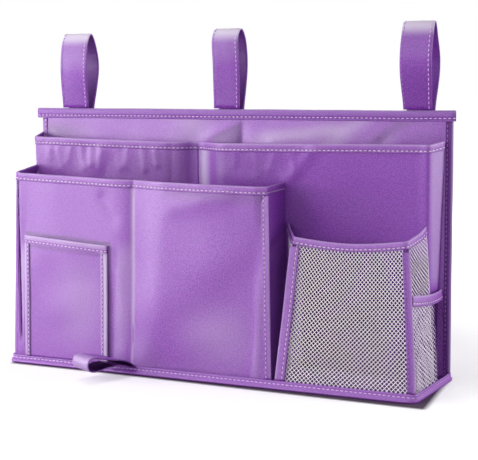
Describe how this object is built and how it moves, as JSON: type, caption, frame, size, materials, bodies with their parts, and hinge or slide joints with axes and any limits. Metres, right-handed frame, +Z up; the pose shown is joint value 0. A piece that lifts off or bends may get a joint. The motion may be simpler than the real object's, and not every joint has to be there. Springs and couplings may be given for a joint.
{
  "type": "hanging bedside caddy",
  "caption": "Soft cloth caddy that hangs on webbing loops: stiff back panel, tall rear pockets, a divided front pocket with a phone pocket, net pockets and a flat base.",
  "frame": {"origin": "centre of the underside of the base, half way between its front edge and the rear face of the back panel", "axes": "+Z up, -Y towards the front where the pockets are, +X to the viewer's right when the front is looked at"},
  "size_m": [0.5688, 0.2064, 0.4256],
  "materials": {
    "cloth": "purple woven polyester with a light heather, soft sheen",
    "board": "grey pulp board, sewn in out of sight",
    "binding": "purple folded tape, edge stitched in pale thread",
    "net": "pale lilac open diamond net",
    "webbing": "purple fine ribbed webbing",
    "fastener": "dark purple hook and loop tape"
  },
  "bodies": {
    "caddy": {"back_cover": "cloth", "back_lining": "cloth", "base_panel": "cloth", "base_lining": "cloth", "middle_left_pocket": "cloth", "middle_right_pocket": "cloth", "front_left_gusset": "cloth", "front_pocket_panel": "cloth", "front_right_gusset": "cloth", "pocket_divider": "cloth", "phone_pocket": "cloth", "back_board_left": "board", "back_board_right": "board", "base_board": "board", "top_hem": "binding", "left_side_binding": "binding", "right_side_binding": "binding", "base_binding": "binding", "middle_left_top_binding": "binding", "middle_right_top_binding": "binding", "front_top_binding": "binding", "front_edge_binding": "binding", "divider_binding": "binding", "phone_top_binding": "binding", "phone_left_binding": "binding", "phone_right_binding": "binding", "mesh_top_binding": "binding", "mesh_left_binding": "binding", "mesh_right_binding": "binding", "side_pocket_binding": "binding", "mesh_front_net": "net", "mesh_left_net": "net", "mesh_right_net": "net", "side_pocket_net": "net", "loop_tape_left": "fastener", "loop_tape_middle": "fastener", "loop_tape_right": "fastener"},
    "strap_left_loop": {"strap_left": "webbing", "hook_tape_left": "fastener"},
    "strap_middle_loop": {"strap_middle": "webbing", "hook_tape_middle": "fastener"},
    "strap_right_loop": {"strap_right": "webbing", "hook_tape_right": "fastener"},
    "tab": {"bottom_tab": "binding"}
  },
  "joints": [
    {"name": "strap_left_swing", "type": "hinge", "parent": "caddy", "child": "strap_left_loop", "pos_m": [-0.226, 0.0527, 0.3232], "axis": [1, 0, 0], "range_deg": [0, 75]},
    {"name": "strap_middle_swing", "type": "hinge", "parent": "caddy", "child": "strap_middle_loop", "pos_m": [-0.0065, 0.0527, 0.3232], "axis": [1, 0, 0], "range_deg": [0, 75]},
    {"name": "strap_right_swing", "type": "hinge", "parent": "caddy", "child": "strap_right_loop", "pos_m": [0.241, 0.0527, 0.3232], "axis": [1, 0, 0], "range_deg": [0, 75]},
    {"name": "tab_swing", "type": "hinge", "parent": "caddy", "child": "tab", "pos_m": [-0.103, -0.0576, 0.008], "axis": [1, 0, 0], "range_deg": [-20, 80], "stiffness_Nm_per_rad": 0.05}
  ]
}
